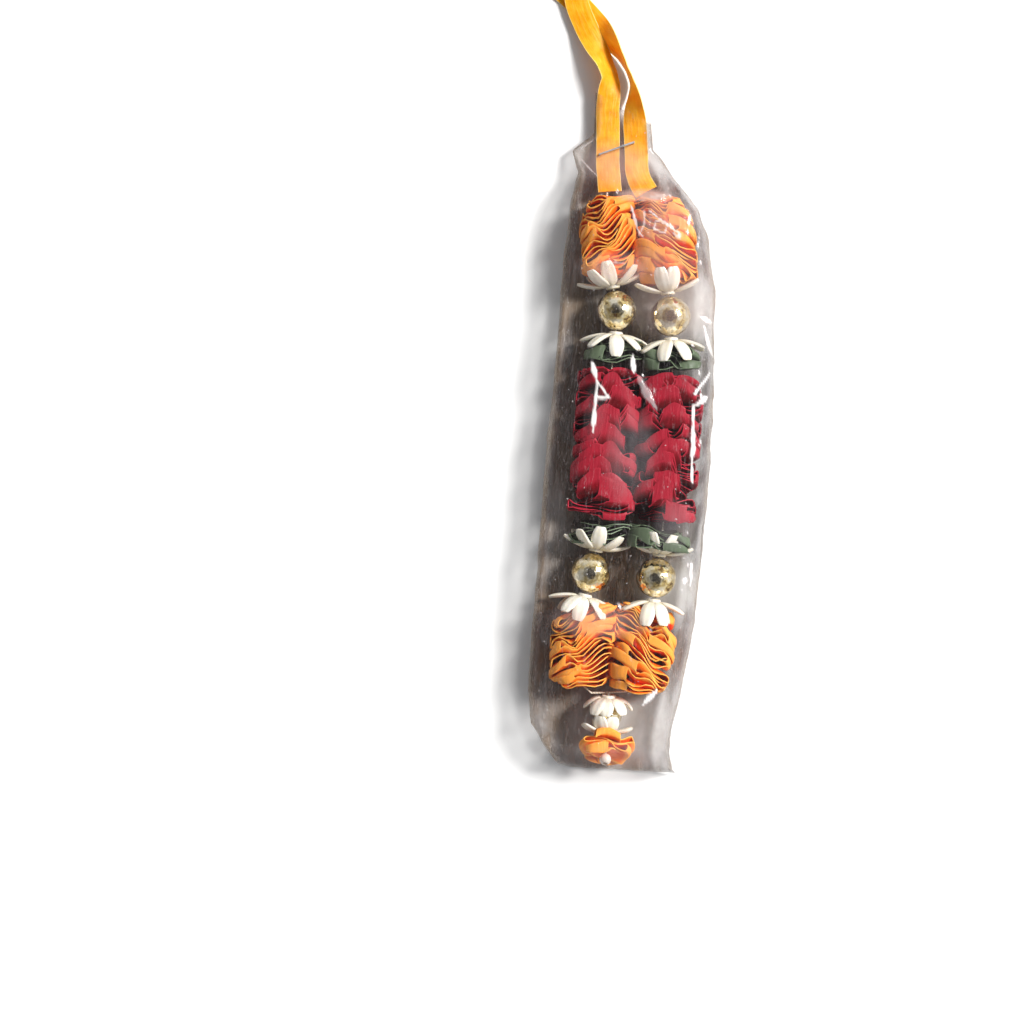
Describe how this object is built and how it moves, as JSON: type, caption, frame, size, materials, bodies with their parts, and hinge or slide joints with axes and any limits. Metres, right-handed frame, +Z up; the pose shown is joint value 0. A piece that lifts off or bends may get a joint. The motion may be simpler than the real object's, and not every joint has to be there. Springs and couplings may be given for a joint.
{
  "type": "artificial marigold garland in a clear bag",
  "caption": "Flat-packed garland of pleated satin ribbon, plastic petal flowers and gold beads on two joined strands with a neck ribbon, lying in a stapled clear bag.",
  "frame": {"origin": "under the middle of the bag, on the surface that it lies on", "axes": "+Y along the garland towards the bag's mouth and the neck ribbon, +X across the two strands, +Z up from the surface"},
  "size_m": [0.0847, 0.3101, 0.0174],
  "materials": {
    "orange_satin": "satin weave with a paler edge",
    "red_satin": "satin weave with a paler edge",
    "green_satin": "satin weave with a paler edge",
    "neck_satin": "satin weave with a sheen along it",
    "petal": "ivory, slightly translucent",
    "gold_bead": "metallised pale gold, mottled",
    "stop_bead": "pearl white",
    "thread": "twisted thread",
    "staple_wire": "grey wire",
    "film": "clear, creased and glossy"
  },
  "bodies": {
    "root": {"ribbon_orange_top_left": "orange_satin", "flower_above_bead_top_left": "petal", "bead_top_left": "gold_bead", "flower_below_bead_top_left": "petal", "ribbon_green_top_left": "green_satin", "ribbon_red_left": "red_satin", "ribbon_green_bottom_left": "green_satin", "flower_above_bead_bottom_left": "petal", "bead_bottom_left": "gold_bead", "flower_below_bead_bottom_left": "petal", "ribbon_orange_bottom_left": "orange_satin", "ribbon_orange_top_right": "orange_satin", "flower_above_bead_top_right": "petal", "bead_top_right": "gold_bead", "flower_below_bead_top_right": "petal", "ribbon_green_top_right": "green_satin", "ribbon_red_right": "red_satin", "ribbon_green_bottom_right": "green_satin", "flower_above_bead_bottom_right": "petal", "bead_bottom_right": "gold_bead", "flower_below_bead_bottom_right": "petal", "ribbon_orange_bottom_right": "orange_satin", "flower_pendant_top": "petal", "bead_pendant": "gold_bead", "flower_pendant_bottom": "petal", "ribbon_pendant": "orange_satin", "stop_bead": "stop_bead", "thread": "thread", "neck_ribbon": "neck_satin", "bag": "film", "staple": "staple_wire"}
  },
  "joints": []
}
